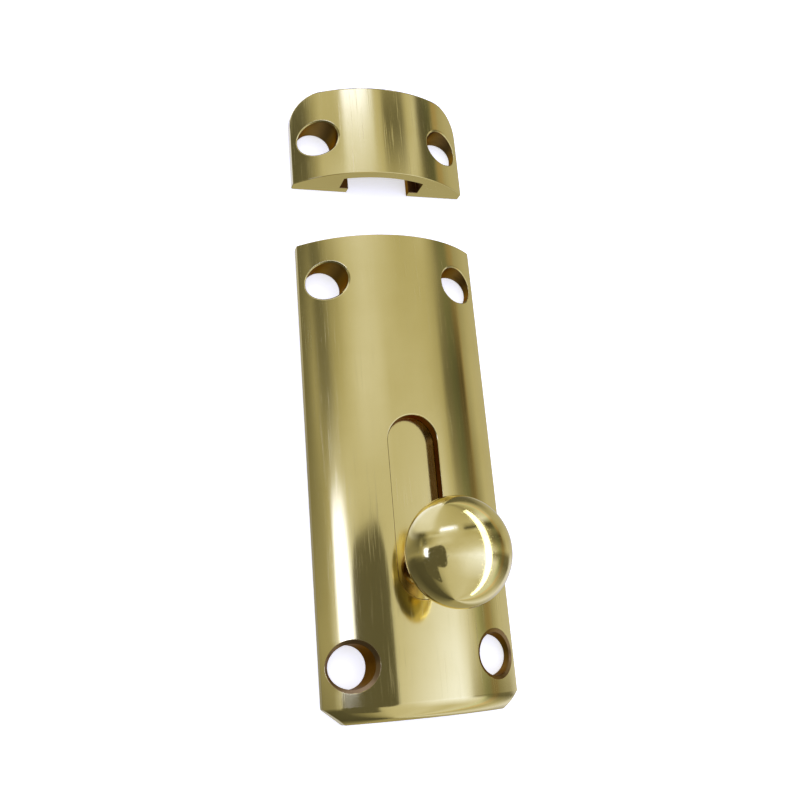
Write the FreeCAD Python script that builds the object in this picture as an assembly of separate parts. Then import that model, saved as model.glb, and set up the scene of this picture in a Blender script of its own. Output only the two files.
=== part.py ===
"""Surface knob slide bolt with its keeper, in solid brass.

Both the case and the keeper are lengths of one D-section extrusion. Its back has a channel with two
lips, and the flat bar of the bolt slides in it. A turned knob stands on the bolt through a slot in
the case. Millimetres: +X across the case, +Y the way the bolt shoots, +Z out of the door's face.
The origin is the centre of the case's four screw holes, on the back face.
"""
import FreeCAD, Part

import math
import os

V = FreeCAD.Vector
Y_AXIS = V(0, 1, 0)
Z_AXIS = V(0, 0, 1)

# Extruded section, shared by the case and the keeper
WIDTH = 25.4
HEIGHT = 6.8
SIDE_WALL = 1.5
CROWN_WALL = 1.65           # metal between the dome and the channel's ceiling
CHANNEL_WIDTH = 11.7
LIP_OPENING = 9.1
LIP_THICKNESS = 1.25
SECTION_CORNER = 0.35       # rounding along the section's two back corners

# Screw holes
HOLE_SPACING_X = 18.6
HOLE_SPACING_Y = 49.6
HOLE_DIAMETER = 5.2
HOLE_CHAMFER = 0.2
LOWER_HOLE_CHAMFER = 0.45   # of the two holes nearer the knob
BACK_CHAMFER = 0.2

# Case
CASE_TOP = 30.85            # Y of the end that faces the keeper
CASE_LENGTH = 62.2
END_ROUND_LENGTH = 1.9      # the lower end's edge is rounded over, along the dome
END_ROUND_DEPTH = 1.15
END_CORNER_X = 2.5          # and its two corners are cut off
END_CORNER_Y = 2.0
CASE_TOP_CHAMFER = 0.12
SLOT_WIDTH = 6.7
SLOT_FIRST_CENTRE = -14.5   # Y of the slot's two end arcs
SLOT_LAST_CENTRE = 2.0
SLOT_CHAMFER = 0.12

# Keeper
KEEPER_GAP = 9.5            # from the case's end, with the door shut
KEEPER_LENGTH = 13.6
KEEPER_HOLE_SETBACK = 6.2   # from the keeper's near end
KEEPER_CORNER = 4.0
KEEPER_EDGE_ROUND = 0.3

# Bolt, drawn back
BOLT_CLEARANCE = 0.1
BOLT_SETBACK = 0.35         # nose inside the case's end
BOLT_LENGTH = 59.6
NOSE_CHAMFER = 0.5
KNOB_Y = -13.7
SEAT_DIAMETER = 5.0
SEAT_Z = 4.5

# Spring pocket across the bolt's underside
POCKET_CENTRE = 8.0
POCKET_LENGTH = 18.0
POCKET_DEPTH = 0.95
SPRING_WIDTH = 11.0
SPRING_LENGTH = 17.4
SPRING_THICKNESS = 0.3
SPRING_GAP = 0.04

# Knob
KNOB_RADIUS = 6.35
KNOB_HALF_HEIGHT = 3.95
KNOB_RIM_RADIUS = 2.9       # roundness of the knob's side, in section
KNOB_CENTRE_Z = 18.8
NECK_RADIUS = 2.35
NECK_WAIST_RADIUS = 2.05
NECK_WAIST_Z = 11.0
NECK_COVE = 1.2

# Screw that holds the knob, M3 with a slotted countersunk head
SCREW_RADIUS = 1.5
SCREW_LENGTH = 8.0
SCREW_HEAD_RADIUS = 2.8
SCREW_RIM = 0.2             # straight edge of the head
SCREW_SLOT_WIDTH = 0.8
SCREW_SLOT_DEPTH = 0.7

# Worked out from the above
HALF = WIDTH / 2
CASE_BOTTOM = CASE_TOP - CASE_LENGTH
KEEPER_NEAR = CASE_TOP + KEEPER_GAP
KEEPER_FAR = KEEPER_NEAR + KEEPER_LENGTH
DOME_RISE = HEIGHT - SIDE_WALL
DOME_RADIUS = (HALF ** 2 + DOME_RISE ** 2) / (2 * DOME_RISE)
DOME_CENTRE_Z = HEIGHT - DOME_RADIUS
CEILING_RADIUS = DOME_RADIUS - CROWN_WALL
BOLT_BOTTOM = LIP_THICKNESS + BOLT_CLEARANCE
BOLT_NOSE = CASE_TOP - BOLT_SETBACK


def arc_height(x, radius):
    """Z of an arc about the dome's axis, at x."""
    return DOME_CENTRE_Z + math.sqrt(radius ** 2 - x ** 2)


def extrude_profile(edges, y_from, y_to):
    """Solid from edges drawn in the XZ plane, drawn along +Y."""
    face = Part.Face(Part.Wire(edges))
    face.translate(V(0, y_from, 0))
    return face.extrude(V(0, y_to - y_from, 0))


def arched_bar(half_width, bottom, radius, y_from, y_to):
    """Bar with a flat bottom, upright sides and a top arched about the dome's axis."""
    shoulder = arc_height(half_width, radius)
    low_left, low_right = V(-half_width, 0, bottom), V(half_width, 0, bottom)
    left, right = V(-half_width, 0, shoulder), V(half_width, 0, shoulder)
    crown = V(0, 0, DOME_CENTRE_Z + radius)
    edges = [
        Part.LineSegment(low_left, low_right).toShape(),
        Part.LineSegment(low_right, right).toShape(),
        Part.Arc(right, crown, left).toShape(),
        Part.LineSegment(left, low_left).toShape(),
    ]
    return extrude_profile(edges, y_from, y_to)


def edges_at_end(shape, y, above=-1.0):
    """Edges in the plane Y = y that reach higher than a given Z."""
    found = []
    for edge in shape.Edges:
        box = edge.BoundBox
        if abs(box.YMin - y) < 0.01 and abs(box.YMax - y) < 0.01 and box.ZMax > above:
            found.append(edge)
    return found


def back_edges(shape, square_ends):
    """Edges round the back face, apart from those along its square ends."""
    found = []
    for edge in shape.Edges:
        box = edge.BoundBox
        along_end = any(abs(box.YMin - y) < 0.01 and abs(box.YMax - y) < 0.01 for y in square_ends)
        if abs(box.ZMin) < 0.01 and abs(box.ZMax) < 0.01 and not along_end:
            found.append(edge)
    return found


def channel(y_from, y_to):
    """The T-shaped channel of the extrusion, as a solid to cut away."""
    ends = (y_from - 1, y_to + 1)
    upper = arched_bar(CHANNEL_WIDTH / 2, LIP_THICKNESS, CEILING_RADIUS, *ends)
    mouth = Part.makeBox(LIP_OPENING, ends[1] - ends[0], LIP_THICKNESS + 2,
                         V(-LIP_OPENING / 2, ends[0], -1))
    return upper.fuse(mouth).removeSplitter()


def round_slot(width, y_first, y_last, z_from, z_to):
    """Upright round-ended slot, as a solid to cut away."""
    radius = width / 2
    height = z_to - z_from
    first = Part.makeCylinder(radius, height, V(0, y_first, z_from))
    last = Part.makeCylinder(radius, height, V(0, y_last, z_from))
    middle = Part.makeBox(width, y_last - y_first, height, V(-radius, y_first, z_from))
    return first.fuse(last).fuse(middle).removeSplitter()


def hole_places(y_values):
    return [V(side * HOLE_SPACING_X / 2, y, 0) for side in (-1, 1) for y in y_values]


def rim_edges(shape, place, radius, on_dome):
    """The hole's rim on the dome, or on the back."""
    found = []
    for edge in shape.Edges:
        points = edge.discretize(9)
        distances = [math.hypot(p.x - place.x, p.y - place.y) for p in points]
        if max(abs(d - radius) for d in distances) > 0.01:
            continue
        if (min(p.z for p in points) > 0.5) == on_dome and edge.Length > 1:
            found.append(edge)
    return found


def drill_screw_holes(body, y_values):
    """Screw holes with a countersunk edge that follows the dome, and the burr taken off the back."""
    for place in hole_places(y_values):
        drill = Part.makeCylinder(HOLE_DIAMETER / 2, HEIGHT + 2, place - V(0, 0, 1))
        body = body.cut(drill)
    for place in hole_places(y_values):
        chamfer = LOWER_HOLE_CHAMFER if place.y < 0 else HOLE_CHAMFER
        body = body.makeChamfer(chamfer, rim_edges(body, place, HOLE_DIAMETER / 2, True))
        body = body.makeChamfer(BACK_CHAMFER, rim_edges(body, place, HOLE_DIAMETER / 2, False))
    return body


def make_case():
    block = arched_bar(HALF, 0, DOME_RADIUS, CASE_BOTTOM, CASE_TOP)
    block = block.common(rounded_end_envelope()).common(case_plan())
    block = block.makeFillet(SECTION_CORNER, back_edges(block, (CASE_BOTTOM, CASE_TOP)))
    block = block.makeChamfer(CASE_TOP_CHAMFER, edges_at_end(block, CASE_TOP, above=SIDE_WALL + 0.1))
    body = block.cut(channel(CASE_BOTTOM, CASE_TOP))
    slot = round_slot(SLOT_WIDTH, SLOT_FIRST_CENTRE, SLOT_LAST_CENTRE, LIP_THICKNESS + 1, HEIGHT + 1)
    body = body.cut(slot)
    body = body.makeChamfer(SLOT_CHAMFER, slot_rim(body))
    return drill_screw_holes(body, (-HOLE_SPACING_Y / 2, HOLE_SPACING_Y / 2))


def rounded_end_envelope():
    """Body of revolution about the dome's axis that rounds the dome over at the lower end."""
    end_radius = DOME_RADIUS - END_ROUND_DEPTH
    arc_radius = (END_ROUND_LENGTH ** 2 + END_ROUND_DEPTH ** 2) / (2 * END_ROUND_DEPTH)
    half_turn = math.asin(END_ROUND_LENGTH / arc_radius) / 2
    start_y = CASE_BOTTOM + END_ROUND_LENGTH
    on_axis_low, on_axis_high = V(0, CASE_BOTTOM, 0), V(0, CASE_TOP + 1, 0)
    end, start = V(0, CASE_BOTTOM, end_radius), V(0, start_y, DOME_RADIUS)
    middle = V(0, start_y - arc_radius * math.sin(half_turn),
               DOME_RADIUS - arc_radius * (1 - math.cos(half_turn)))
    far = V(0, CASE_TOP + 1, DOME_RADIUS)
    edges = [
        Part.LineSegment(on_axis_low, end).toShape(),
        Part.Arc(end, middle, start).toShape(),
        Part.LineSegment(start, far).toShape(),
        Part.LineSegment(far, on_axis_high).toShape(),
        Part.LineSegment(on_axis_high, on_axis_low).toShape(),
    ]
    envelope = Part.Face(Part.Wire(edges)).revolve(V(0, 0, 0), Y_AXIS, 360)
    envelope.translate(V(0, 0, DOME_CENTRE_Z))
    return envelope


def case_plan():
    """Upright prism of the case's outline seen from above, with its two lower corners cut off."""
    half_end = HALF - END_CORNER_X
    shoulder_y = CASE_BOTTOM + END_CORNER_Y
    outline = [(-half_end, CASE_BOTTOM), (half_end, CASE_BOTTOM), (HALF, shoulder_y), (HALF, CASE_TOP),
               (-HALF, CASE_TOP), (-HALF, shoulder_y), (-half_end, CASE_BOTTOM)]
    face = Part.Face(Part.makePolygon([V(x, y, -1) for x, y in outline]))
    return face.extrude(V(0, 0, HEIGHT + 2))


def slot_rim(body):
    """Edges where the slot breaks through the dome."""
    found = []
    for edge in body.Edges:
        points = edge.discretize(5)
        on_dome = all(abs(p.z - arc_height(p.x, DOME_RADIUS)) < 0.01 for p in points)
        in_slot = all(abs(p.x) < SLOT_WIDTH / 2 + 0.01 for p in points)
        clear = all(CASE_BOTTOM + 3 < p.y < CASE_TOP - 3 for p in points)
        if on_dome and in_slot and clear:
            found.append(edge)
    return found


def make_keeper():
    block = arched_bar(HALF, 0, DOME_RADIUS, KEEPER_NEAR, KEEPER_FAR)
    plan = Part.makeBox(WIDTH, KEEPER_LENGTH, HEIGHT + 2, V(-HALF, KEEPER_NEAR, -1))
    far_corners = [edge for edge in edges_at_end(plan, KEEPER_FAR) if edge.BoundBox.ZLength > 1]
    block = block.common(plan.makeFillet(KEEPER_CORNER, far_corners))
    block = block.makeFillet(SECTION_CORNER, back_edges(block, (KEEPER_NEAR, KEEPER_FAR)))
    block = block.makeFillet(KEEPER_EDGE_ROUND, far_rim(block))
    body = block.cut(channel(KEEPER_NEAR, KEEPER_FAR))
    return drill_screw_holes(body, (KEEPER_NEAR + KEEPER_HOLE_SETBACK,))


def far_rim(block):
    """Edges where the keeper's far end and its rounded corners meet the dome."""
    found = []
    for edge in block.Edges:
        points = edge.discretize(5)
        on_dome = all(abs(p.z - arc_height(p.x, DOME_RADIUS)) < 0.01 for p in points)
        at_far_end = all(p.y > KEEPER_FAR - KEEPER_CORNER - 0.01 for p in points)
        if on_dome and at_far_end:
            found.append(edge)
    return found


def make_bolt():
    half_width = CHANNEL_WIDTH / 2 - BOLT_CLEARANCE
    tail = BOLT_NOSE - BOLT_LENGTH
    bar = arched_bar(half_width, BOLT_BOTTOM, CEILING_RADIUS - BOLT_CLEARANCE, tail, BOLT_NOSE)
    bar = bar.makeChamfer(NOSE_CHAMFER, edges_at_end(bar, BOLT_NOSE))
    pocket = Part.makeBox(WIDTH, POCKET_LENGTH, POCKET_DEPTH + 1,
                          V(-HALF, POCKET_CENTRE - POCKET_LENGTH / 2, BOLT_BOTTOM - 1))
    seat = Part.makeCylinder(SEAT_DIAMETER / 2, HEIGHT, V(0, KNOB_Y, SEAT_Z))
    clearance = Part.makeCylinder(SCREW_RADIUS, HEIGHT, V(0, KNOB_Y, 0))
    return bar.cut(pocket).cut(seat).cut(clearance).cut(screw_head(0.02))


def screw_head(oversize):
    """Countersunk head, or with some oversize the recess for it."""
    radius = SCREW_HEAD_RADIUS + oversize
    depth = radius - SCREW_RADIUS
    rim = Part.makeCylinder(radius, SCREW_RIM, V(0, KNOB_Y, BOLT_BOTTOM))
    cone = Part.makeCone(radius, SCREW_RADIUS, depth, V(0, KNOB_Y, BOLT_BOTTOM + SCREW_RIM))
    return rim.fuse(cone)


def make_knob_screw():
    shank = Part.makeCylinder(SCREW_RADIUS, SCREW_LENGTH, V(0, KNOB_Y, BOLT_BOTTOM))
    slot = Part.makeBox(4 * SCREW_HEAD_RADIUS, SCREW_SLOT_WIDTH, SCREW_SLOT_DEPTH,
                        V(-2 * SCREW_HEAD_RADIUS, KNOB_Y - SCREW_SLOT_WIDTH / 2, BOLT_BOTTOM))
    return screw_head(0).fuse(shank).removeSplitter().cut(slot)


def make_knob():
    """Flattened ball on a waisted neck, turned in one piece about the knob's axis."""
    reach = KNOB_RADIUS - KNOB_RIM_RADIUS
    face_radius = ((reach ** 2 + KNOB_HALF_HEIGHT ** 2 - KNOB_RIM_RADIUS ** 2)
                   / (2 * (KNOB_HALF_HEIGHT - KNOB_RIM_RADIUS)))
    tangent = math.asin(reach / (face_radius - KNOB_RIM_RADIUS))

    def on_face(angle, side):
        """Point of the shallow upper (side 1) or lower (side -1) face, at an angle from the axis."""
        drop = face_radius - KNOB_HALF_HEIGHT
        return V(face_radius * math.sin(angle), 0,
                 KNOB_CENTRE_Z + side * (face_radius * math.cos(angle) - drop))

    join_radius = NECK_RADIUS + NECK_COVE
    join_angle = math.asin(join_radius / face_radius)
    join = on_face(join_angle, -1)
    foot_high = V(NECK_RADIUS, 0, HEIGHT + 0.6)
    neck = Part.BSplineCurve()
    neck.interpolate(Points=[foot_high, V(NECK_WAIST_RADIUS, 0, NECK_WAIST_Z),
                             V(NECK_WAIST_RADIUS + 0.15, 0, join.z - NECK_COVE), join])
    hole_top = BOLT_BOTTOM + SCREW_LENGTH + 0.5
    corners = [on_face(0, 1), V(0, 0, hole_top), V(SCREW_RADIUS, 0, hole_top),
               V(SCREW_RADIUS, 0, SEAT_Z), V(NECK_RADIUS, 0, SEAT_Z), foot_high]
    edges = [Part.LineSegment(a, b).toShape() for a, b in zip(corners, corners[1:])]
    edges += [
        neck.toShape(),
        Part.Arc(join, on_face((join_angle + tangent) / 2, -1), on_face(tangent, -1)).toShape(),
        Part.Arc(on_face(tangent, -1), V(KNOB_RADIUS, 0, KNOB_CENTRE_Z), on_face(tangent, 1)).toShape(),
        Part.Arc(on_face(tangent, 1), on_face(tangent / 2, 1), on_face(0, 1)).toShape(),
    ]
    knob = Part.Face(Part.Wire(edges)).revolve(V(0, 0, 0), Z_AXIS, 360)
    knob.translate(V(0, KNOB_Y, 0))
    return knob


def make_friction_spring():
    """Bowed strip: its ends bear on the case's lips and its crown on the pocket's roof."""
    low = LIP_THICKNESS + SPRING_GAP
    high = BOLT_BOTTOM + POCKET_DEPTH - SPRING_GAP
    rise = high - low - SPRING_THICKNESS
    half = SPRING_LENGTH / 2
    radius = (half ** 2 + rise ** 2) / (2 * rise)
    centre_z = low + rise - radius

    def point(r, angle):
        return V(0, POCKET_CENTRE + r * math.sin(angle), centre_z + r * math.cos(angle))

    spread = math.asin(half / radius)
    outer = radius + SPRING_THICKNESS
    edges = [
        Part.Arc(point(radius, -spread), point(radius, 0), point(radius, spread)).toShape(),
        Part.LineSegment(point(radius, spread), point(outer, spread)).toShape(),
        Part.Arc(point(outer, spread), point(outer, 0), point(outer, -spread)).toShape(),
        Part.LineSegment(point(outer, -spread), point(radius, -spread)).toShape(),
    ]
    face = Part.Face(Part.Wire(edges))
    face.translate(V(-SPRING_WIDTH / 2, 0, 0))
    return face.extrude(V(SPRING_WIDTH, 0, 0))


def main():
    os.makedirs("parts", exist_ok=True)
    nodes = {
        "case": make_case(),
        "keeper": make_keeper(),
        "bolt": make_bolt(),
        "knob": make_knob(),
        "knob_screw": make_knob_screw(),
        "friction_spring": make_friction_spring(),
    }
    for name, shape in nodes.items():
        solid = shape.Solids[0] if len(shape.Solids) == 1 else shape
        print(name, "solids", len(shape.Solids), "valid", shape.isValid(), "volume", round(shape.Volume, 1))
        solid.exportStep("parts/%s.step" % name)


main()
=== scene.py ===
"""Looks of the brass knob slide bolt: finished meshes, materials, studio and camera.

Lengths in the mesh code are millimetres, in the row frame: +X across the case, +Y the way the bolt
shoots, +Z out of the door's face. They become metres in Skin.piece().
"""

import math

import bmesh
import bpy
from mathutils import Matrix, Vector

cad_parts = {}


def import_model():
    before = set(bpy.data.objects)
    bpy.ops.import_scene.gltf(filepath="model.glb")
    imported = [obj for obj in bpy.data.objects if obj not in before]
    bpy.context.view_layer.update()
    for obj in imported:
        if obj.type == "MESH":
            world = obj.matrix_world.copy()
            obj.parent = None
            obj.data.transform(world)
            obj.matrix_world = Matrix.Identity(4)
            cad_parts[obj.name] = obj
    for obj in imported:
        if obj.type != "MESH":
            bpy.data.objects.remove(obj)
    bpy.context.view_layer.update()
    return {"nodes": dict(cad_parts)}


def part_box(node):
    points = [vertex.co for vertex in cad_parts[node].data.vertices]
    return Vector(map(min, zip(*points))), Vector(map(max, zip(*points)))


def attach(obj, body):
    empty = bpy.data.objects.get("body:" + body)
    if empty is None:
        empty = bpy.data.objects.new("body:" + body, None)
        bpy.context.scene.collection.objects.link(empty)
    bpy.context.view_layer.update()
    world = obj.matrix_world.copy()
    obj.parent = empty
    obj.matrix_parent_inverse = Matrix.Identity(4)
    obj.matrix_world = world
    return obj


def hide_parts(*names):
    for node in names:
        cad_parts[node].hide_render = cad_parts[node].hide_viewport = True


MM = 0.001
TINY = 0.001

# Extruded section, shared by the case and the keeper
HALF = 12.7
HEIGHT = 6.8
SIDE_WALL = 1.5
CROWN_WALL = 1.65
CHANNEL_HALF = 5.85
LIP_HALF = 4.55
LIP_THICKNESS = 1.25
DOME_RISE = HEIGHT - SIDE_WALL
DOME_RADIUS = (HALF ** 2 + DOME_RISE ** 2) / (2 * DOME_RISE)
DOME_CENTRE_Z = HEIGHT - DOME_RADIUS
CEILING_RADIUS = DOME_RADIUS - CROWN_WALL

# Screw holes
HOLE_X = 9.3
HOLE_Y = 24.8
HOLE_RADIUS = 2.6
HOLE_CHAMFER = 0.2
LOWER_HOLE_CHAMFER = 0.45   # of the two holes nearer the knob
BACK_CHAMFER = 0.2
HOLE_PATCH = 4.0            # half length of the patch of mesh round a hole

# Case
END_ROUND_LENGTH = 1.9
END_ROUND_DEPTH = 1.15
END_CORNER_X = 2.5
END_CORNER_Y = 2.0
SLOT_RADIUS = 3.35
SLOT_FIRST = -14.5
SLOT_LAST = 2.0
SLOT_CHAMFER = 0.12
SLOT_PATCH = 4.6            # how far the slot's patch reaches past the centres of its arcs

# Keeper
KEEPER_HOLE_SETBACK = 6.2
KEEPER_CORNER = 4.0

# Knob
KNOB_Y = -13.7
KNOB_RADIUS = 6.35
KNOB_HALF_HEIGHT = 3.95
KNOB_CENTRE_Z = 18.8
NECK_RADIUS = 2.35
NECK_WAIST_RADIUS = 2.05
NECK_WAIST_Z = 11.0
NECK_COVE = 1.2
NECK_FLARE = 0.15           # how much wider the neck is at the cove's lower end than at its waist
NECK_TOP_Z = 15.4           # the neck and the knob's underside have painted shade below this
NECK_FOOT_TOP_Z = HEIGHT + 0.6
NECK_FOOT_Z = HEIGHT - 1
SEAT_Z = 4.5
SCREW_RADIUS = 1.5
SCREW_HOLE_TOP = 9.85

# Mesh fineness and edge roundings
CELL = 0.45
RINGS = 3
ROUND_STEPS = 10
TURN_STEPS = 128
PROFILE_STEP = math.radians(2.5)
WELD_DISTANCE = 2e-6        # metres, as is the next
SHORTEST_EDGE = 1e-7
SHARP_ANGLE = math.radians(20)
FINE_EDGE = 0.06
PLAIN_EDGE = 0.1
BACK_EDGE = 0.35
KEEPER_EDGE = 0.14
EDGE_SEGMENTS = 3

# Colours
BRASS = (0.84, 0.685, 0.225)
BRASS_DULL = (0.80, 0.645, 0.20)
# Darker brass of the neck and the knob's underside: painted shade under the knob's head
BRASS_NECK_SHADED = (0.56, 0.40, 0.14)
# Dark brown brass of the hole walls: a rougher machined finish, darkened with painted shade of the hollows
BRASS_SHADED_INSIDE = (0.36, 0.23, 0.085)
BRASS_BROWN = (0.13, 0.075, 0.025)
# Near black brown of the slot's walls: painted shade in the slot
SHADE_IN_SLOT = (0.17, 0.10, 0.035)
SHADE_IN_SLOT_DARK = (0.06, 0.035, 0.012)
BRONZE = (0.66, 0.42, 0.24)

# Material slots of the finished meshes
POLISHED = 0
# Slot 1: rougher machined brass, darkened with painted shade in the holes; on the knob, the neck's painted
# shade
MACHINED_AND_SHADED = 1
# Slot 2 is the slot's walls, darkened with painted shade
SHADED_SLOT_WALL = 2


def box_mm(node):
    low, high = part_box(node)
    return low / MM, high / MM


def through(stops, step):
    """Values that pass through every stop, about one step apart."""
    values = []
    for start, end in zip(stops, stops[1:]):
        count = max(1, round(abs(end - start) / step))
        values += [start + (end - start) * i / count for i in range(count)]
    return values + [stops[-1]]


def arc_height(x, radius):
    """Z of an arc about the dome's axis, at x."""
    return DOME_CENTRE_Z + math.sqrt(radius ** 2 - x ** 2)


class Skin:
    """Closed mesh put together from strips of faces, which are welded where they meet."""

    def __init__(self):
        self.bm = bmesh.new()
        self.finish = POLISHED

    def face(self, places):
        face = self.bm.faces.new([self.bm.verts.new(Vector(place) * MM) for place in places])
        face.material_index = self.finish

    def strip(self, first, second):
        for a, b, c, d in zip(first, first[1:], second[1:], second):
            self.face((a, b, c, d))

    def sheet(self, lines):
        for first, second in zip(lines, lines[1:]):
            self.strip(first, second)

    def piece(self, name, edge_width, widest):
        """Object with smooth faces, whose sharp edges are rounded as edge_width says."""
        bm = self.bm
        bmesh.ops.remove_doubles(bm, verts=bm.verts, dist=WELD_DISTANCE)
        bmesh.ops.dissolve_degenerate(bm, edges=bm.edges, dist=SHORTEST_EDGE)
        bmesh.ops.recalc_face_normals(bm, faces=bm.faces)
        weight = bm.edges.layers.float.new("bevel_weight_edge")
        for face in bm.faces:
            face.smooth = True
        for edge in bm.edges:
            if edge.calc_face_angle(0) > SHARP_ANGLE:
                edge.smooth = False
                edge[weight] = edge_width([v.co / MM for v in edge.verts]) / widest
        mesh = bpy.data.meshes.new(name)
        bm.to_mesh(mesh)
        bm.free()
        obj = bpy.data.objects.new(name, mesh)
        bpy.context.scene.collection.objects.link(obj)
        bevel = obj.modifiers.new("edge_rounding", "BEVEL")
        bevel.limit_method = "WEIGHT"
        bevel.width = widest * MM
        bevel.segments = EDGE_SEGMENTS
        bevel.use_clamp_overlap = False
        bevel.harden_normals = True
        return obj


class Opening:
    """Chamfered hole or round-ended slot seen from above, with the patch of mesh round it."""

    def __init__(self, x, y_first, y_last, radius, chamfer, patch_x, patch_y):
        self.x = x
        self.y_first = y_first
        self.y_last = y_last
        self.radius = radius
        self.chamfer = chamfer
        self.patch_x = patch_x
        self.patch_y = patch_y

    def covers(self, x, y):
        return self.patch_x[0] < x < self.patch_x[1] and self.patch_y[0] < y < self.patch_y[1]

    def outline(self, columns, rows):
        """Closed line of plan points round the patch."""
        xs = [x for x in columns if self.patch_x[0] - TINY < x < self.patch_x[1] + TINY]
        ys = [y for y in rows if self.patch_y[0] - TINY < y < self.patch_y[1] + TINY]
        line = [(x, ys[0]) for x in xs[:-1]]
        line += [(xs[-1], y) for y in ys[:-1]]
        line += [(x, ys[-1]) for x in reversed(xs[1:])]
        line += [(xs[0], y) for y in reversed(ys[1:])]
        return line + line[:1]

    def rim(self, line, growth=None):
        """Points of the rim opposite those of a line. growth(x, dx) widens it at each point."""
        points = []
        for x, y in line:
            centre_y = min(max(y, self.y_first), self.y_last)
            dx, dy = x - self.x, y - centre_y
            length = math.hypot(dx, dy)
            dx, dy = dx / length, dy / length
            edge_x = self.x + dx * self.radius
            reach = self.radius + (growth(edge_x, dx) if growth else 0)
            points.append((self.x + dx * reach, centre_y + dy * reach))
        return points


def plate(skin, columns, rows, openings, lift, growth_of):
    """Surface over a plan of columns and rows, with rings of faces round each opening.

    growth_of(opening) gives the opening's growth, as Opening.rim() takes it.
    """
    for x0, x1 in zip(columns, columns[1:]):
        for y0, y1 in zip(rows, rows[1:]):
            if not any(o.covers((x0 + x1) / 2, (y0 + y1) / 2) for o in openings):
                skin.face((lift(x0, y0), lift(x1, y0), lift(x1, y1), lift(x0, y1)))
    for opening in openings:
        line = opening.outline(columns, rows)
        rim = opening.rim(line, growth_of(opening))
        rings = []
        for step in range(RINGS + 1):
            t = step / RINGS
            rings.append([lift(a[0] + (b[0] - a[0]) * t, a[1] + (b[1] - a[1]) * t)
                          for a, b in zip(line, rim)])
        skin.sheet(rings)


def chamfer_growth(opening):
    """How much the chamfer of an opening's rim widens it in plan, where the dome falls away."""
    def growth(x, dx):
        slope = x / math.sqrt(DOME_RADIUS ** 2 - x ** 2)
        return opening.chamfer / math.hypot(1, slope * dx)
    return growth


def back_growth(opening):
    """How much a hole's chamfer on the flat back widens it."""
    return lambda x, dx: BACK_CHAMFER


def no_growth(opening):
    return None


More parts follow.
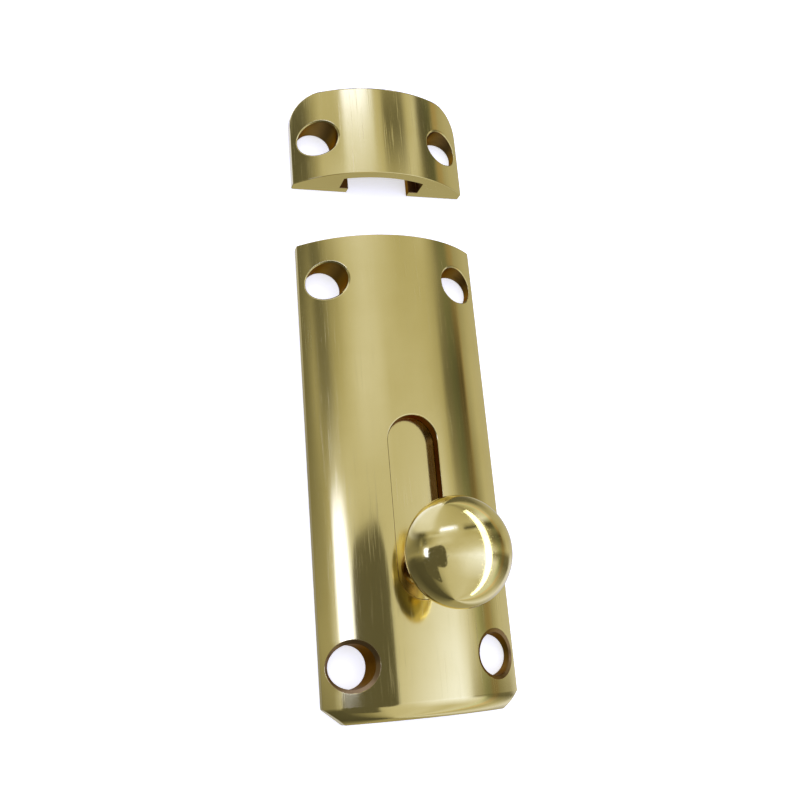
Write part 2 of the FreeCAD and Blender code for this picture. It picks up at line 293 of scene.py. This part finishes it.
class Extrusion:
    """Length of the D-section, with its plan, the radius of its dome, its holes and its slot."""

    def __init__(self, rows, half_width, dome_radius, holes, slot):
        self.rows = rows
        self.half_width = half_width
        self.dome_radius = dome_radius
        self.holes = holes
        self.slot = slot
        stops = [-HALF, -CHANNEL_HALF, -LIP_HALF, LIP_HALF, CHANNEL_HALF, HALF]
        self.columns = through(stops, CELL)
        self.skin = Skin()

    def drawn_in(self, x, y):
        """Column x, drawn in where the plan's corners are cut or rounded."""
        outer = abs(x) - CHANNEL_HALF
        if outer <= 0:
            return x
        share = (self.half_width(y) - CHANNEL_HALF) / (HALF - CHANNEL_HALF)
        return math.copysign(CHANNEL_HALF + outer * share, x)

    def on_dome(self, x, y):
        x = self.drawn_in(x, y)
        return x, y, arc_height(x, self.dome_radius(y))

    def on_back(self, x, y):
        return self.drawn_in(x, y), y, 0.0

    def on_lip(self, x, y):
        return x, y, LIP_THICKNESS

    def on_ceiling(self, x, y):
        return x, y, arc_height(x, CEILING_RADIUS)

    def between(self, low, high):
        return [x for x in self.columns if low - TINY < x < high + TINY]

    def build(self):
        slots = [self.slot] if self.slot else []
        self.dome_and_sides(slots)
        for y in (self.rows[0], self.rows[-1]):
            self.end(y)
        # From here on faces take the darker machined material, which carries painted shade in the holes
        self.skin.finish = MACHINED_AND_SHADED
        self.back()
        self.channel(slots)
        for hole in self.holes:
            self.hole_wall(hole)
        for slot in slots:
            self.slot_wall(slot)
        return self.skin

    def dome_and_sides(self, slots):
        for low, high in ((-HALF, -LIP_HALF), (-LIP_HALF, LIP_HALF), (LIP_HALF, HALF)):
            inside = [o for o in self.holes + slots if low < o.x < high]
            plate(self.skin, self.between(low, high), self.rows, inside, self.on_dome, chamfer_growth)
        for x in (-HALF, HALF):
            self.skin.strip([self.on_back(x, y) for y in self.rows],
                            [self.on_dome(x, y) for y in self.rows])

    def back(self):
        """The two strips either side of the channel's mouth."""
        for low, high in ((-HALF, -LIP_HALF), (LIP_HALF, HALF)):
            inside = [o for o in self.holes if low < o.x < high]
            plate(self.skin, self.between(low, high), self.rows, inside, self.on_back, back_growth)

    def channel(self, slots):
        """Lips, walls and ceiling of the T-shaped channel."""
        for side in (-1, 1):
            lip_x, wall_x = side * LIP_HALF, side * CHANNEL_HALF
            self.skin.strip([self.on_back(lip_x, y) for y in self.rows],
                            [self.on_lip(lip_x, y) for y in self.rows])
            self.skin.strip([self.on_lip(wall_x, y) for y in self.rows],
                            [self.on_ceiling(wall_x, y) for y in self.rows])
            lip_columns = self.between(min(lip_x, wall_x), max(lip_x, wall_x))
            plate(self.skin, lip_columns, self.rows, [], self.on_lip, no_growth)
        columns = self.between(-CHANNEL_HALF, CHANNEL_HALF)
        plate(self.skin, columns, self.rows, slots, self.on_ceiling, no_growth)

    def end(self, y):
        """End face: quads from the dome to the ceiling, the back or, beside the channel, both."""
        for x0, x1 in zip(self.columns, self.columns[1:]):
            inner, outer = sorted((abs(x0), abs(x1)))
            dome = [self.on_dome(x1, y), self.on_dome(x0, y)]
            if outer < CHANNEL_HALF + TINY:
                self.skin.face([self.on_ceiling(x0, y), self.on_ceiling(x1, y)] + dome)
                if inner > LIP_HALF - TINY:
                    self.skin.face([self.on_back(x0, y), self.on_back(x1, y),
                                    self.on_lip(x1, y), self.on_lip(x0, y)])
                continue
            beside = abs(inner - CHANNEL_HALF) < TINY
            right = [self.on_lip(x1, y), self.on_ceiling(x1, y)] if beside and x1 < 0 else []
            left = [self.on_ceiling(x0, y), self.on_lip(x0, y)] if beside and x0 > 0 else []
            self.skin.face([self.on_back(x0, y), self.on_back(x1, y)] + right + dome + left)

    def hole_wall(self, hole):
        line = hole.outline(self.columns, self.rows)
        rim = hole.rim(line)
        wide = hole.rim(line, chamfer_growth(hole))
        back = hole.rim(line, back_growth(hole))
        tops = [self.on_dome(x, y)[2] - hole.chamfer for x, y in rim]
        lines = []
        for t in (1, 0.66, 0.33, 0):
            lines.append([(x, y, BACK_CHAMFER + (top - BACK_CHAMFER) * t)
                          for (x, y), top in zip(rim, tops)])
        # The lower holes' wider chamfers take the darker machined material too: painted shade
        self.chamfer(wide, lines[0], POLISHED if hole.chamfer == HOLE_CHAMFER else MACHINED_AND_SHADED)
        self.skin.sheet(lines + [[(x, y, 0.0) for x, y in back]])

    def chamfer(self, wide, top, finish):
        """Chamfer from a widened rim on the dome down to the top of a wall."""
        self.skin.finish = finish
        self.skin.strip([self.on_dome(x, y) for x, y in wide], top)
        self.skin.finish = MACHINED_AND_SHADED

    def slot_wall(self, slot):
        line = slot.outline(self.between(-LIP_HALF, LIP_HALF), self.rows)
        rim = slot.rim(line)
        wide = slot.rim(line, chamfer_growth(slot))
        top = [(x, y, self.on_dome(x, y)[2] - slot.chamfer) for x, y in rim]
        low = [self.on_ceiling(x, y) for x, y in rim]
        self.chamfer(wide, top, POLISHED)
        # The slot's walls take the near black material: painted shade in the slot
        self.skin.finish = SHADED_SLOT_WALL
        self.skin.strip(top, low)


def make_case():
    low, high = box_mm("case")
    bottom, top = low.y, high.y
    round_radius = (END_ROUND_LENGTH ** 2 + END_ROUND_DEPTH ** 2) / (2 * END_ROUND_DEPTH)
    round_from = bottom + END_ROUND_LENGTH
    full_turn = math.asin(END_ROUND_LENGTH / round_radius)

    def half_width(y):
        cut = max(0.0, bottom + END_CORNER_Y - y)
        return HALF - cut * END_CORNER_X / END_CORNER_Y

    def dome_radius(y):
        into = max(0.0, round_from - y)
        return DOME_RADIUS - round_radius + math.sqrt(round_radius ** 2 - into ** 2)

    turns = [full_turn * (1 - i / ROUND_STEPS) for i in range(ROUND_STEPS)]
    rows = [round_from - round_radius * math.sin(turn) for turn in turns]
    rows += through([round_from, bottom + END_CORNER_Y, -HOLE_Y - HOLE_PATCH, -HOLE_Y + HOLE_PATCH,
                     SLOT_FIRST - SLOT_PATCH, SLOT_LAST + SLOT_PATCH,
                     HOLE_Y - HOLE_PATCH, HOLE_Y + HOLE_PATCH, top], CELL)
    holes = [screw_hole(side, y, y - HOLE_PATCH, y + HOLE_PATCH)
             for side in (-1, 1) for y in (-HOLE_Y, HOLE_Y)]
    slot = Opening(0, SLOT_FIRST, SLOT_LAST, SLOT_RADIUS, SLOT_CHAMFER, (-LIP_HALF, LIP_HALF),
                   (SLOT_FIRST - SLOT_PATCH, SLOT_LAST + SLOT_PATCH))
    case = Extrusion(rows, half_width, dome_radius, holes, slot)

    def edge_width(ends):
        if all(e.z < TINY and abs(e.x) > half_width(e.y) - TINY for e in ends):
            return BACK_EDGE
        if any(abs(e.x) < SLOT_RADIUS + 1 or in_hole(e, holes) for e in ends):
            return FINE_EDGE
        return PLAIN_EDGE

    return case.build().piece("case_body", edge_width, BACK_EDGE)


def screw_hole(side, y, patch_from, patch_to):
    chamfer = LOWER_HOLE_CHAMFER if y < 0 else HOLE_CHAMFER
    patch_x = sorted((side * CHANNEL_HALF, side * HALF))
    return Opening(side * HOLE_X, y, y, HOLE_RADIUS, chamfer, patch_x, (patch_from, patch_to))


def in_hole(place, holes):
    return any(math.hypot(place.x - h.x, place.y - h.y_first) < h.radius + h.chamfer + TINY
               for h in holes)


def make_keeper():
    low, high = box_mm("keeper")
    near, far = low.y, high.y
    corner_from = far - KEEPER_CORNER
    hole_y = near + KEEPER_HOLE_SETBACK

    def half_width(y):
        into = max(0.0, y - corner_from)
        return HALF - KEEPER_CORNER + math.sqrt(max(0.0, KEEPER_CORNER ** 2 - into ** 2))

    rows = through([near, hole_y - HOLE_PATCH, corner_from], CELL)
    rows += [corner_from + KEEPER_CORNER * math.sin(math.pi / 2 * (i + 1) / ROUND_STEPS)
             for i in range(ROUND_STEPS)]
    holes = [screw_hole(side, hole_y, hole_y - HOLE_PATCH, corner_from) for side in (-1, 1)]
    keeper = Extrusion(rows, half_width, lambda y: DOME_RADIUS, holes, None)

    def edge_width(ends):
        if all(e.z < TINY and abs(e.x) > half_width(e.y) - TINY for e in ends):
            return BACK_EDGE
        if all(e.y > corner_from - TINY and e.z > SIDE_WALL - TINY for e in ends):
            return KEEPER_EDGE
        return FINE_EDGE if any(in_hole(e, holes) for e in ends) else PLAIN_EDGE

    return keeper.build().piece("keeper_body", edge_width, BACK_EDGE)


def knob_profile():
    """Half outline of the knob as (radius, z), from its face to the end of the screw's hole."""
    join = math.asin((NECK_RADIUS + NECK_COVE) / KNOB_RADIUS)
    turns = through([0, math.pi - join], PROFILE_STEP)
    profile = [(KNOB_RADIUS * math.sin(t), KNOB_CENTRE_Z + KNOB_HALF_HEIGHT * math.cos(t)) for t in turns]
    neck = [profile[-2], profile[-1], (NECK_WAIST_RADIUS + NECK_FLARE, profile[-1][1] - NECK_COVE),
            (NECK_WAIST_RADIUS, NECK_WAIST_Z), (NECK_RADIUS, NECK_FOOT_TOP_Z), (NECK_RADIUS, NECK_FOOT_Z)]
    profile += smooth_through(neck)
    profile += [(NECK_RADIUS, SEAT_Z), (SCREW_RADIUS, SEAT_Z), (SCREW_RADIUS, SCREW_HOLE_TOP)]
    return profile + [(0.0, SCREW_HOLE_TOP)]


def smooth_through(points, count=10):
    """Catmull-Rom curve from the second point to the last but one, without its first point."""
    curve = []
    for before, start, end, after in zip(points, points[1:], points[2:], points[3:]):
        for step in range(1, count + 1):
            t = step / count
            curve.append(tuple(
                0.5 * (2 * b + (c - a) * t + (2 * a - 5 * b + 4 * c - d) * t ** 2
                       + (3 * b - a - 3 * c + d) * t ** 3)
                for a, b, c, d in zip(before, start, end, after)))
    return curve


def make_knob():
    skin = Skin()
    lines = []
    for radius, z in knob_profile():
        turns = [2 * math.pi * (i % TURN_STEPS) / TURN_STEPS for i in range(TURN_STEPS + 1)]
        lines.append([(radius * math.cos(t), KNOB_Y + radius * math.sin(t), z) for t in turns])
    for upper, lower in zip(lines, lines[1:]):
        # Below NECK_TOP_Z the darker neck material gives painted shade under the knob's head
        skin.finish = MACHINED_AND_SHADED if lower[0][2] < NECK_TOP_Z else POLISHED
        skin.strip(upper, lower)
    return skin.piece("knob_turned", lambda ends: FINE_EDGE, FINE_EDGE)


# Studio: for each slope of a direction along Y, brightness by its angle in degrees from +Z towards
# +X. The levels are blended from slope to slope.
STUDIO = (
    (-0.60, ((-175, 0.36), (-150, 0.20), (-100, 0.08), (-60, 0.10), (-40, 0.32), (-20, 0.62), (15, 0.70),
             (38, 0.62), (68, 0.80), (90, 0.50), (120, 0.85), (140, 0.40))),
    (-0.20, ((-175, 0.36), (-150, 0.10), (-100, 0.09), (-60, 0.10), (-38, 0.12), (-32, 0.56), (-15, 0.66),
             (0, 0.74), (15, 0.92), (45, 1.05), (56, 0.90), (65, 0.70), (70, 0.26), (82, 0.15), (105, 0.15),
             (112, 0.80), (130, 0.80), (150, 0.50))),
    (-0.06, ((-175, 0.36), (-150, 0.15), (-100, 0.10), (-66, 0.20), (-59, 0.50), (-55, 1.50), (-48, 1.50),
             (-43, 0.50), (-38, 0.24), (-32, 0.60), (-5, 0.78), (19, 1.04), (42, 1.20), (50, 1.00),
             (55, 0.30), (66, 0.18), (82, 0.16), (100, 0.20), (112, 0.80), (130, 0.80), (150, 0.50))),
    (0.03, ((-175, 0.36), (-150, 0.30), (-90, 0.35), (-66, 0.42), (-59, 0.80), (-56, 2.60), (-48, 2.60),
            (-43, 0.74), (-33, 0.60), (-5, 0.68), (19, 0.84), (30, 0.96), (42, 1.02), (53, 0.84), (62, 0.61),
            (70, 0.34), (79, 0.30), (87, 0.45), (95, 0.61))),
    (0.13, ((-175, 0.36), (-150, 0.30), (-78, 0.24), (-66, 0.34), (-59, 0.55), (-56, 2.50), (-49, 2.50),
            (-44, 0.78), (-33, 0.62), (-10, 0.62), (2, 0.64), (45, 0.78), (53, 0.62), (61, 0.36), (70, 0.24),
            (79, 0.20), (87, 0.36), (95, 0.58))),
    (0.18, ((-150, 0.30), (-75, 0.24), (-66, 0.34), (-58, 0.46), (-52, 0.70), (-46, 0.62), (-41, 0.66),
            (-32, 0.63), (-14, 0.62), (2, 0.61), (45, 0.70), (53, 0.54), (59, 0.27),
            (70, 0.17), (79, 0.14), (83, 0.30), (95, 0.54))),
    (0.27, ((-150, 0.40), (-75, 0.17), (-66, 0.42), (-60, 0.20), (-53, 0.20), (-47, 0.42), (-41, 0.50),
            (-32, 0.64), (-23, 0.75), (-6, 0.72), (2, 0.61), (30, 0.61), (40, 0.57), (53, 0.45), (57, 0.17),
            (70, 0.12), (80, 0.08), (83, 0.38), (95, 0.54))),
    (0.38, ((-150, 0.50), (-75, 0.15), (-66, 0.26), (-62, 0.15), (-56, 0.15), (-50, 0.31), (-41, 0.38),
            (-32, 0.56), (-15, 0.71), (2, 0.63), (19, 0.53), (45, 0.52), (58, 0.37), (62, 0.25), (72, 0.22),
            (80, 0.33), (103, 0.50))),
    (0.45, ((-150, 0.80), (-75, 0.12), (-62, 0.16), (-52, 0.40), (-45, 0.62), (-32, 0.74), (-20, 0.78),
            (2, 0.66), (14, 0.58), (24, 0.50), (35, 0.60), (45, 0.72), (54, 0.46), (60, 0.12), (71, 0.11),
            (76, 0.36), (95, 0.50))),
    (0.49, ((-150, 0.80), (-75, 0.10), (-62, 0.11), (-52, 0.34), (-45, 0.58), (-32, 0.48), (-25, 0.52),
            (-20, 0.86), (-4, 0.88), (6, 0.80), (9, 0.60), (15, 0.55), (19, 0.10), (37, 0.10),
            (43, 0.54), (52, 0.70), (57, 0.10), (71, 0.10), (76, 0.36), (95, 0.50))),
    (0.51, ((-150, 0.80), (-75, 0.10), (-62, 0.11), (-52, 0.34), (-45, 0.58), (-32, 0.50), (-25, 0.54),
            (-20, 0.95), (-4, 1.00), (6, 0.88), (9, 0.62), (15, 0.56), (19, 0.10), (37, 0.10),
            (43, 0.54), (52, 0.66), (57, 0.08), (71, 0.08), (76, 0.36), (95, 0.50))),
    (0.54, ((-150, 0.80), (-75, 0.16), (-62, 0.24), (-52, 0.50), (-32, 0.60), (-25, 0.70), (-20, 2.00),
            (-4, 2.00), (6, 1.20), (10, 0.62), (15, 0.56), (21, 0.34), (37, 0.34), (43, 0.56),
            (52, 0.56), (60, 0.16), (76, 0.40), (95, 0.50))),
    (0.62, ((-150, 1.00), (-120, 0.75), (-60, 0.80), (-45, 0.82), (-30, 0.66), (0, 0.56), (30, 0.55),
            (60, 0.90), (75, 0.80), (90, 0.45), (120, 0.45), (145, 0.20), (155, 0.70))),
    (0.80, ((-150, 1.10), (-120, 0.90), (-60, 0.87), (-45, 0.82), (-30, 0.63), (0, 0.54), (30, 0.48),
            (45, 0.32), (60, 0.50), (75, 0.70), (90, 0.45), (105, 0.16), (145, 0.14), (155, 0.60))),
)
# Tint of the surroundings by angle: greenish, then warm, low on the right
STUDIO_TINT = ((62, (1, 1, 1)), (67, (0.92, 1.0, 0.88)), (73, (0.92, 0.98, 0.88)),
               (76, (1.08, 0.90, 0.68)), (81, (1.08, 0.90, 0.68)), (85, (1, 1, 1)))

# Dark cards level with the camera, seen only in the brass, as left, right, bottom and top
CARDS = ((-130.0, -31.0, -60.0, 11.0), (-230.0, -76.0, -160.0, -26.0))
CARD_HEIGHT = 131.0
CARD_CORNER = 22.0
CARD_BRIGHTNESS = 0.12

# How much cooler the surroundings are where they are bright
DAYLIGHT_FROM = 0.52
DAYLIGHT_GREEN = 0.28
DAYLIGHT_BLUE = 2.6
MOST_GREEN = 1.18
MOST_BLUE = 3.2

# Plain surroundings that the camera sees instead
STUDIO_BACKGROUND = 0.9

# Floor, in metres, and the soft box over it
FLOOR_HALF = 0.6
FLOOR_DEPTH = 0.00005
FLOOR_WHITE = 0.9
FLOOR_GLOW = 0.55
FLOOR_LIGHT_PLACE = (-0.06, 0.12, 0.7)
FLOOR_LIGHT_TILT = (math.radians(-10), math.radians(-5), 0)
FLOOR_LIGHT_SIZE = 0.9
FLOOR_LIGHT_POWER = 2.2

# Strip light for the knob alone
STRIP_PLACE = (60.0, -52.0, 74.0)
STRIP_WIDTH = 15.0
STRIP_LENGTH = 300.0
STRIP_TILT = math.radians(5)
STRIP_POWER = 0.055
STRIP_COLOUR = (0.58, 0.68, 1.0)

# Camera
CAMERA_PLACE = (-42.6, -26.4, 128.9)
CAMERA_TURN = (20.72, -18.09, -5.37)        # degrees
CAMERA_LENS = 46.1
CAMERA_SHIFT = (-0.0185, -0.0985)
CAMERA_NEAR = 0.005

# Marks on the metal: noise scales, and the noise values between which each mark grows
LENGTHWISE = (1, 0.02, 1)
TURNED = (1, 1, 0.1)
CAST = (0.3, 0.3, 1)
PATCH_SCALE = 180
PATCH_RANGE = (0.45, 0.75)
PATCH_GRAIN = (0.3, 0.7)
HAZE_SCALE = 60
HAZE_STRETCH = (1, 0.4, 1)
HAZE_RANGE = (0.3, 0.7)
LEAST_HAZE, MOST_HAZE = 0.8, 1.25
HAIRLINE_SCALE = 1.7
HAIRLINE_RANGE = (0.58, 0.72)
HAIRLINE_ROUGHNESS = 0.16


def add(tree, kind, **settings):
    """Node of a kind, with its settings."""
    node = tree.nodes.new(kind)
    for name, value in settings.items():
        setattr(node, name, value)
    return node


def maths(tree, operation, first, second):
    """Math node. Each value is a number or a socket."""
    node = add(tree, "ShaderNodeMath", operation=operation)
    for socket, value in zip(node.inputs, (first, second)):
        if isinstance(value, (int, float)):
            socket.default_value = value
        else:
            tree.links.new(value, socket)
    return node.outputs[0]


def mapped(tree, value, source, target):
    """Value carried from the source range to the target range, and held within it."""
    node = add(tree, "ShaderNodeMapRange")
    for socket, number in zip(node.inputs[1:5], (*source, *target)):
        socket.default_value = number
    tree.links.new(value, node.inputs[0])
    return node.outputs[0]


def blended(tree, factor, first, second):
    """Mix of two colours. Each is a colour or a socket."""
    node = add(tree, "ShaderNodeMix", data_type="RGBA")
    tree.links.new(factor, node.inputs[0])
    for socket, value in ((node.inputs[6], first), (node.inputs[7], second)):
        if isinstance(value, tuple):
            socket.default_value = value
        else:
            tree.links.new(value, socket)
    return node.outputs[2]


def daylight(brightness):
    """Colour of the surroundings at a brightness: neutral when dim, cooler when bright."""
    over = max(0.0, brightness - DAYLIGHT_FROM)
    green = min(1 + DAYLIGHT_GREEN * over, MOST_GREEN)
    blue = min(1 + DAYLIGHT_BLUE * over, MOST_BLUE)
    return brightness, brightness * green, brightness * blue


def ramp(tree, factor, stops):
    """Colour ramp over angle, in degrees. A stop's value is a brightness or a colour."""
    node = add(tree, "ShaderNodeValToRGB")
    elements = node.color_ramp.elements
    elements.remove(elements[1])
    for index, (angle, value) in enumerate(stops):
        element = elements[0] if index == 0 else elements.new(1.0)
        element.position = angle / 360 + 0.5
        colour = value if isinstance(value, tuple) else daylight(value)
        element.color = (*colour, 1)
    tree.links.new(factor, node.inputs[0])
    return node.outputs[0]


def studio():
    """Surroundings that the brass reflects: pale walls, a bright strip and dark cards between them."""
    world = bpy.data.worlds.new("studio")
    bpy.context.scene.world = world
    world.use_nodes = True
    tree = world.node_tree
    split = add(tree, "ShaderNodeSeparateXYZ")
    tree.links.new(add(tree, "ShaderNodeTexCoord").outputs["Generated"], split.inputs[0])
    x, y, z = split.outputs
    turn = maths(tree, "ARCTAN2", x, z)
    factor = mapped(tree, turn, (-math.pi, math.pi), (0, 1))
    colour = ramp(tree, factor, STUDIO[0][1])
    for (low, _), (high, stops) in zip(STUDIO, STUDIO[1:]):
        share = mapped(tree, y, (low, high), (0, 1))
        colour = blended(tree, share, colour, ramp(tree, factor, stops))
    tinted = add(tree, "ShaderNodeMix", data_type="RGBA", blend_type="MULTIPLY")
    tinted.inputs[0].default_value = 1.0
    tree.links.new(colour, tinted.inputs[6])
    tree.links.new(ramp(tree, factor, STUDIO_TINT), tinted.inputs[7])
    colour = tinted.outputs[2]
    seen = add(tree, "ShaderNodeLightPath").outputs["Is Camera Ray"]
    plain = (STUDIO_BACKGROUND, STUDIO_BACKGROUND, STUDIO_BACKGROUND, 1.0)
    tree.links.new(blended(tree, seen, colour, plain), tree.nodes["Background"].inputs[0])


def card(left, right, bottom, top):
    """Dark round-cornered card beside the camera, whose shape shows in the dome and the knob."""
    x0, x1 = left + CARD_CORNER, right - CARD_CORNER
    y0, y1 = bottom + CARD_CORNER, top - CARD_CORNER
    corners = ((x1, y1, 0), (x0, y1, 90), (x0, y0, 180), (x1, y0, 270))
    outline = []
    for x, y, start in corners:
        for turn in range(start, start + 91, 10):
            angle = math.radians(turn)
            place = (x + CARD_CORNER * math.cos(angle), y + CARD_CORNER * math.sin(angle), CARD_HEIGHT)
            outline.append(Vector(place) * MM)
    mesh = bpy.data.meshes.new("card")
    mesh.from_pydata(outline, [], [range(len(outline))])
    obj = bpy.data.objects.new("card", mesh)
    bpy.context.scene.collection.objects.link(obj)
    material = bpy.data.materials.new("card")
    material.use_nodes = True
    shader = material.node_tree.nodes["Principled BSDF"]
    shader.inputs["Base Color"].default_value = (0, 0, 0, 1)
    shader.inputs["Specular IOR Level"].default_value = 0
    shader.inputs["Emission Color"].default_value = (1, 1, 1, 1)
    shader.inputs["Emission Strength"].default_value = CARD_BRIGHTNESS
    mesh.materials.append(material)
    obj.visible_camera = False
    obj.visible_diffuse = False
    obj.visible_shadow = False


def strip_light(knob):
    """Narrow soft strip, whose reflection runs down the knob's right side."""
    data = bpy.data.lights.new("strip_light", "AREA")
    data.shape = "RECTANGLE"
    data.size = STRIP_WIDTH * MM
    data.size_y = STRIP_LENGTH * MM
    data.energy = STRIP_POWER
    data.color = STRIP_COLOUR
    light = bpy.data.objects.new("strip_light", data)
    light.location = Vector(STRIP_PLACE) * MM
    towards = Vector((0, KNOB_Y, KNOB_CENTRE_Z)) - Vector(STRIP_PLACE)
    light.rotation_euler = (0, math.atan2(-towards.x, -towards.z), STRIP_TILT)
    light.visible_camera = False
    bpy.context.scene.collection.objects.link(light)
    lit = bpy.data.collections.new("lit_by_strip")
    lit.objects.link(knob)
    light.light_linking.receiver_collection = lit


def floor_light():
    """Overhead soft box for the floor; the brass doesn't reflect it."""
    data = bpy.data.lights.new("floor_light", "AREA")
    data.shape = "DISK"
    data.size = FLOOR_LIGHT_SIZE
    data.energy = FLOOR_LIGHT_POWER
    light = bpy.data.objects.new("floor_light", data)
    light.location = FLOOR_LIGHT_PLACE
    light.rotation_euler = FLOOR_LIGHT_TILT
    light.visible_glossy = False
    light.visible_camera = False
    bpy.context.scene.collection.objects.link(light)


def floor():
    """Plain pale floor just under the object, kept out of the brass's reflections."""
    mesh = bpy.data.meshes.new("floor")
    corners = [(x * FLOOR_HALF, y * FLOOR_HALF, 0) for x, y in ((-1, -1), (1, -1), (1, 1), (-1, 1))]
    mesh.from_pydata(corners, [], [(0, 1, 2, 3)])
    obj = bpy.data.objects.new("floor", mesh)
    obj.location.z = -FLOOR_DEPTH
    bpy.context.scene.collection.objects.link(obj)
    material = bpy.data.materials.new("floor")
    material.use_nodes = True
    shader = material.node_tree.nodes["Principled BSDF"]
    shader.inputs["Base Color"].default_value = (FLOOR_WHITE, FLOOR_WHITE, FLOOR_WHITE, 1)
    shader.inputs["Roughness"].default_value = 0.9
    shader.inputs["Specular IOR Level"].default_value = 0.1
    shader.inputs["Emission Color"].default_value = (1, 1, 1, 1)
    shader.inputs["Emission Strength"].default_value = FLOOR_GLOW
    mesh.materials.append(material)
    obj.visible_glossy = False


def camera():
    data = bpy.data.cameras.new("camera")
    data.lens = CAMERA_LENS
    data.shift_x, data.shift_y = CAMERA_SHIFT
    data.clip_start = CAMERA_NEAR
    obj = bpy.data.objects.new("camera", data)
    obj.location = Vector(CAMERA_PLACE) * MM
    obj.rotation_euler = [math.radians(angle) for angle in CAMERA_TURN]
    bpy.context.scene.collection.objects.link(obj)
    bpy.context.scene.camera = obj


def noise(tree, vector, scale, detail, stretch=(1, 1, 1)):
    """Noise over the object's own metres, its features stretched by the scale on each axis."""
    mapping = add(tree, "ShaderNodeMapping")
    mapping.inputs["Scale"].default_value = stretch
    tree.links.new(vector, mapping.inputs["Vector"])
    node = add(tree, "ShaderNodeTexNoise")
    node.inputs["Scale"].default_value = scale
    node.inputs["Detail"].default_value = detail
    tree.links.new(mapping.outputs[0], node.inputs["Vector"])
    return node.outputs["Fac"]


def metal(name, light, dark, roughness, grain_scale, grain_stretch, grain_depth, edge_tint=(1, 1, 1)):
    """Brass or bronze with buffing grain, uneven polish and patches of tarnish.

    grain_depth is in millimetres. edge_tint is the colour that the metal has at a grazing angle.
    """
    material = bpy.data.materials.new(name)
    material.use_nodes = True
    tree = material.node_tree
    shader = tree.nodes["Principled BSDF"]
    shader.inputs["Metallic"].default_value = 1.0
    shader.inputs["Specular Tint"].default_value = (*edge_tint, 1)
    place = add(tree, "ShaderNodeTexCoord").outputs["Object"]
    grain = noise(tree, place, grain_scale, 6, grain_stretch)
    patches = noise(tree, place, PATCH_SCALE, 4)
    haze = noise(tree, place, HAZE_SCALE, 3, HAZE_STRETCH)
    tarnish = maths(tree, "MULTIPLY", mapped(tree, patches, PATCH_RANGE, (0, 1)),
                    mapped(tree, grain, PATCH_GRAIN, (0.4, 1)))
    tree.links.new(blended(tree, tarnish, (*light, 1.0), (*dark, 1.0)), shader.inputs["Base Color"])
    uneven = mapped(tree, haze, HAZE_RANGE, (roughness * LEAST_HAZE, roughness * MOST_HAZE))
    lines = noise(tree, place, HAIRLINE_SCALE * grain_scale, 2, grain_stretch)
    hairlines = mapped(tree, lines, HAIRLINE_RANGE, (0, HAIRLINE_ROUGHNESS))
    tree.links.new(maths(tree, "ADD", uneven, hairlines), shader.inputs["Roughness"])
    bump = add(tree, "ShaderNodeBump")
    bump.inputs["Distance"].default_value = grain_depth * MM
    tree.links.new(grain, bump.inputs["Height"])
    tree.links.new(bump.outputs[0], shader.inputs["Normal"])
    return material


def dress(piece, *materials):
    for material in materials:
        piece.data.materials.append(material)


def stand_for(piece, node, body):
    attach(piece, body)
    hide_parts(node)


def main():
    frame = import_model()
    bpy.context.scene.view_settings.view_transform = "Standard"
    camera()
    studio()
    for edges in CARDS:
        card(*edges)
    floor_light()
    floor()
    polished = metal("brass_polished", BRASS, BRASS_DULL, roughness=0.10,
                     grain_scale=4000, grain_stretch=LENGTHWISE, grain_depth=0.0012)
    # Machined brass with a rougher finish, darkened with painted shade in the holes
    machined_and_shaded = metal("brass_machined_and_shaded", BRASS_SHADED_INSIDE, BRASS_BROWN, roughness=0.30,
                     grain_scale=3000, grain_stretch=CAST, grain_depth=0.002, edge_tint=BRASS_SHADED_INSIDE)
    turned = metal("brass_turned", BRASS, BRASS_DULL, roughness=0.10,
                   grain_scale=2500, grain_stretch=TURNED, grain_depth=0.0002)
    # Neck: brass darkened with painted shade under the knob's head
    neck = metal("brass_neck_shaded", BRASS_NECK_SHADED, BRASS_SHADED_INSIDE, roughness=0.16,
                 grain_scale=2500, grain_stretch=TURNED, grain_depth=0.0004)
    # Slot walls: brass darkened with painted shade
    slot_wall_shade = metal("brass_slot_wall_shade", SHADE_IN_SLOT, SHADE_IN_SLOT_DARK, roughness=0.34,
                  grain_scale=3000, grain_stretch=CAST, grain_depth=0.002, edge_tint=BRASS_SHADED_INSIDE)
    bar = metal("brass_bar", BRASS, BRASS_DULL, roughness=0.14,
                grain_scale=4000, grain_stretch=LENGTHWISE, grain_depth=0.0015)
    bronze = metal("bronze_strip", BRONZE, BRASS_BROWN, roughness=0.28,
                   grain_scale=4000, grain_stretch=LENGTHWISE, grain_depth=0.002)
    case, keeper, knob = make_case(), make_keeper(), make_knob()
    strip_light(knob)
    dress(case, polished, machined_and_shaded, slot_wall_shade)
    dress(keeper, polished, machined_and_shaded)
    dress(knob, turned, neck)
    for node, material in (("bolt", bar), ("knob_screw", bar), ("friction_spring", bronze)):
        frame["nodes"][node].data.materials[0] = material
    stand_for(case, "case", "fixed")
    stand_for(keeper, "keeper", "fixed")
    stand_for(knob, "knob", "bolt")


main()
